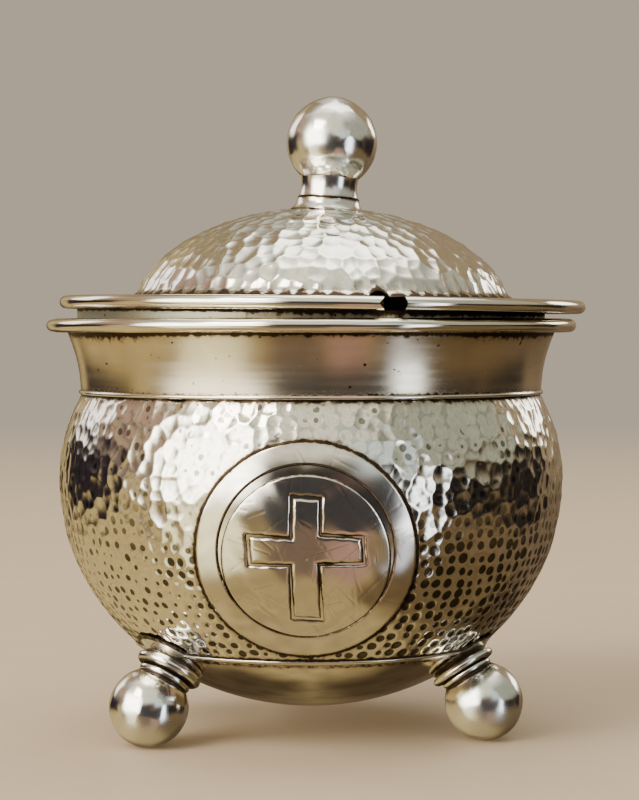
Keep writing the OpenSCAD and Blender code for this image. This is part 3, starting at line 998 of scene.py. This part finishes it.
def slotted(name, section, material, node, grime_and_shade, softened=0.0):
    """A ring with the spoon slot cut through it: the section goes round from one side of the slot to
    the other. softened rounds the slot's corners at the outer edge."""
    section = np.array(section, float)
    outer = section[:, 0].max()
    into = np.clip(section[:, 0] - (outer - softened), 0, softened)
    ease = softened - np.sqrt(softened**2 - into**2)
    n = RING_COLUMNS
    start = np.arcsin((SLOT_OFF + SLOT_W / 2 + 0.35 * ease) / section[:, 0])
    end = np.arcsin((SLOT_OFF - SLOT_W / 2 - ease) / section[:, 0])
    f = np.linspace(0, 1, n)[None, :]
    # closer columns beside the slot
    f = f - 0.45 * np.sin(TAU * f) / TAU
    angle = SLOT_AT + start[:, None] + (TAU - start + end)[:, None] * f
    waver = (ripple(angle[0], 0.22 * MM, 51, range(2, 40)) - 0.14 * MM).clip(-0.4 * MM, 0)
    radius = section[:, :1] + waver[None, :] * (section[:, :1] > outer - 1.2 * MM)
    height = np.broadcast_to(section[:, 1:], radius.shape)
    points = np.stack([radius * np.cos(angle), radius * np.sin(angle), height], axis=2).reshape(-1, 3)
    rows = len(section)
    faces = []
    i = np.arange(n - 1)
    for j in range(rows):
        a, b = j * n, (j + 1) % rows * n
        faces += np.stack([a + i, a + i + 1, b + i + 1, b + i], axis=1).tolist()
    faces.append([j * n for j in range(rows)])
    faces.append([j * n + n - 1 for j in range(rows)][::-1])
    marks = np.broadcast_to(grime_and_shade, radius.shape).ravel()
    points = moved(points, LID_PLACE)
    add_piece(name, points, faces, material, "lid", {"grime_and_shade": marks, "dent": 0 * marks}, [node])


def dome_side(grow):
    wide = DOME_FOOT_R / math.sqrt(1 - (DOME_SINK / (DOME_H + DOME_SINK)) ** 2) + grow
    tall = DOME_H + DOME_SINK + grow
    t = np.linspace(math.asin(DOME_SINK / tall), math.pi / 2, 500)
    side = np.stack([wide * np.cos(t), FLANGE_H - DOME_SINK + tall * np.sin(t)], axis=1)
    side[-1, 0] = 0
    return side


def build_dome():
    """The hammered dome. Its foot curls out to the flange, and rises in an arch over the slot."""
    n = DOME_COLUMNS
    outer = dome_side(0)
    curl = arc((DOME_FOOT_R + DOME_CURL, FLANGE_H + DOME_CURL), DOME_CURL, 270, 190, 6)
    above = outer[outer[:, 1] > FLANGE_H + DOME_CURL]
    outline = even(joined(curl, above), 0.40 * MM)
    inside = even(dome_side(-DOME_WALL), 1.5 * MM)
    rows = len(outline)
    push, dent = hammered(
        outline, n, spacing=3.0 * MM, cup=6.5 * MM, seed=71, first=0, last=rows - 1,
        stray=0.24, tip=0.05,
    )
    fade = smoothstep(np.arange(rows), 1, 6) * smoothstep(outline[:, 0], 3 * MM, 7 * MM)
    push, dent = push * fade[:, None], dent * fade[:, None]
    # closer columns at the arch, for half_width radians on both sides of its middle
    arch_at = SLOT_AT + math.asin(SLOT_OFF / DOME_FOOT_R)
    half_width = 0.075
    near = arch_at + np.linspace(-half_width, half_width, 61)
    even_round = np.arange(n) * TAU / n
    gap = np.abs((even_round - arch_at + math.pi) % TAU - math.pi) > half_width + 0.001
    columns = np.sort(np.concatenate([even_round[gap], near % TAU]))
    wrap = np.concatenate([even_round, [TAU]])

    def across_columns(grid):
        return np.array([np.interp(columns, wrap, np.append(row, row[0])) for row in grid])

    push, dent = across_columns(push), across_columns(dent)
    off = ((columns - arch_at + math.pi) % TAU - math.pi) * DOME_FOOT_R
    arch = np.maximum(np.sqrt(np.maximum(ARCH_R**2 - off**2, 0)) - ARCH_SINK, 0)
    # dirt lies in scallops along the foot, and round the arch
    reach = (0.45 + 1.5 * np.abs(np.sin(35 * columns + 0.8 * np.sin(7 * columns))) ** 1.5) * MM
    joint = np.exp(-(outline[:, 1:] - FLANGE_H) / reach)
    from_arch = np.hypot(off, outline[:, 1:] - FLANGE_H + ARCH_SINK) - ARCH_R
    grime_and_shade = np.maximum(joint, 0.8 * np.exp(-np.abs(from_arch) / (0.3 * MM)))

    def lifted(side):
        """How far the arch lifts each point of an outline's lowest stretch."""
        stretch = 4 * MM
        return smoothstep(FLANGE_H + stretch - side[:, 1], 0, stretch)[:, None] * arch[None, :]

    normal = outward(outline, False)
    lift = lifted(outline)
    height = outline[:, 1:] + lift + push * normal[:, 1:]
    follow = np.interp(outline[:, 1:] + lift, outline[:, 1], outline[:, 0])
    radius = np.where(lift > 0.01 * MM, follow, outline[:, :1]) + push * normal[:, :1]
    inner_lift = lifted(inside)
    inner_height = inside[:, 1:] + inner_lift
    inner_radius = np.interp(inner_height, inside[:, 1], inside[:, 0])
    inner_radius = np.where(inner_lift > 0.01 * MM, inner_radius, inside[:, :1])
    # the inside from its top down to the foot, then the outside back up to its top
    outer_rows, inner_rows = slice(0, -1), slice(-2, None, -1)
    radius = np.concatenate([inner_radius[inner_rows], radius[outer_rows]])
    height = np.concatenate([inner_height[inner_rows], height[outer_rows]])
    total, m = radius.shape
    points = [radius * np.cos(columns), radius * np.sin(columns), height]
    points = np.stack(points, axis=2).reshape(-1, 3)
    top = [[0, 0, inside[-1, 1]], [0, 0, outline[-1, 1]]]
    points = moved(np.concatenate([points, top]), LID_PLACE)
    faces = grid_faces(total, m, False, (total * m, total * m + 1))
    blank = np.zeros((len(inside) - 1, m))
    marks = {}
    for mark, grid in (("grime_and_shade", grime_and_shade), ("dent", dent)):
        shell = np.concatenate([blank, grid[outer_rows]]).ravel()
        marks[mark] = np.concatenate([shell, [0, 0]])
    add_piece("lid_dome", points, faces, HAMMERED_LID, "lid", marks, ["lid_dome"])


def build_lid():
    section = round_edged(DOME_FOOT_R - DOME_WALL, FLANGE_R, 0, FLANGE_H, 12)
    foot = np.exp(-np.abs(section[:, :1] - DOME_FOOT_R - 0.7 * MM) / (0.7 * MM)) * (section[:, 1:] > MM)
    slotted("lid_flange", section, RIM, "lid_flange", foot, softened=1.1 * MM)
    inner = BEZEL_R - BEZEL_WALL
    section = [[inner, -BEZEL_H], [BEZEL_R, -BEZEL_H], [BEZEL_R, 0], [inner, 0]]
    slotted("lid_bezel", section, SHADED_SILVER, "lid_bezel", np.full((4, 1), 0.15))
    build_dome()


# ---------------------------------------------------------------- the knob

def build_knob():
    n = KNOB_COLUMNS
    angle = np.arange(n) * TAU / n
    ball = arc((0, KNOB_RISE), KNOB_R, -90, 90, 110)
    ball[0, 0] = ball[-1, 0] = 0
    push = hammered(
        ball, n, spacing=3.6 * MM, cup=34 * MM, seed=91, first=0, last=len(ball) - 1,
        stray=0.3, tip=0.02,
    )[0]
    push = push * smoothstep(ball[:, 0], MM, 4.5 * MM)[:, None]
    joint = np.exp(-np.hypot(ball[:, :1] - KNOB_NECK_R, ball[:, 1:] - 5.2 * MM) / (0.35 * MM))
    shown = slice(1, -1)
    revolve(
        "knob_ball", ball, n, POLISHED, "lid", ["knob_ball"],
        place=KNOB_PLACE, push=push[shown], grime_and_shade=0.8 * joint[shown],
    )
    waver = ripple(angle, 0.07 * MM, 92)[None, :] - 0.05 * MM
    inner = STUD_HOLE_R
    f = np.linspace(0, 1, 18)
    waist = 0.35 * MM * np.sin(math.pi * f)
    side = np.stack([KNOB_NECK_R - waist, COLLAR_H + (KNOB_NECK_TOP - COLLAR_H) * f], axis=1)
    neck = joined([[inner, COLLAR_H]], side, [[inner, KNOB_NECK_TOP]])
    groove = np.exp(-np.abs(neck[:, 1:] - COLLAR_H) / (0.3 * MM))
    revolve(
        "knob_neck", neck, n, POLISHED, "lid", ["knob_neck"],
        place=KNOB_PLACE, push=waver * (neck[:, :1] > 4 * MM), grime_and_shade=groove,
    )
    spread = COLLAR_R + COLLAR_FLARE * (1 - f) ** 2.2
    side = np.stack([spread, (COLLAR_H + COLLAR_SINK) * f - COLLAR_SINK], axis=1)
    collar = joined([[inner, -COLLAR_SINK]], side, [[inner, COLLAR_H]])
    groove = np.exp(-np.abs(collar[:, 1:] - COLLAR_H) / (0.3 * MM))
    revolve(
        "knob_collar", collar, n, POLISHED, "lid", ["knob_collar"],
        place=KNOB_PLACE, push=waver * (collar[:, :1] > 4 * MM), grime_and_shade=groove,
    )
    for node in ("knob_stud", "knob_washer", "knob_nut"):
        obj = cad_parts[node]
        obj.data.materials.clear()
        obj.data.materials.append(STEEL)


build_bowl()
build_neck()
build_wires()
build_rim_and_lip()
build_medallion()
for number, side in enumerate(FEET):
    build_foot(side, 60 + 10 * number)
build_lid()
build_knob()
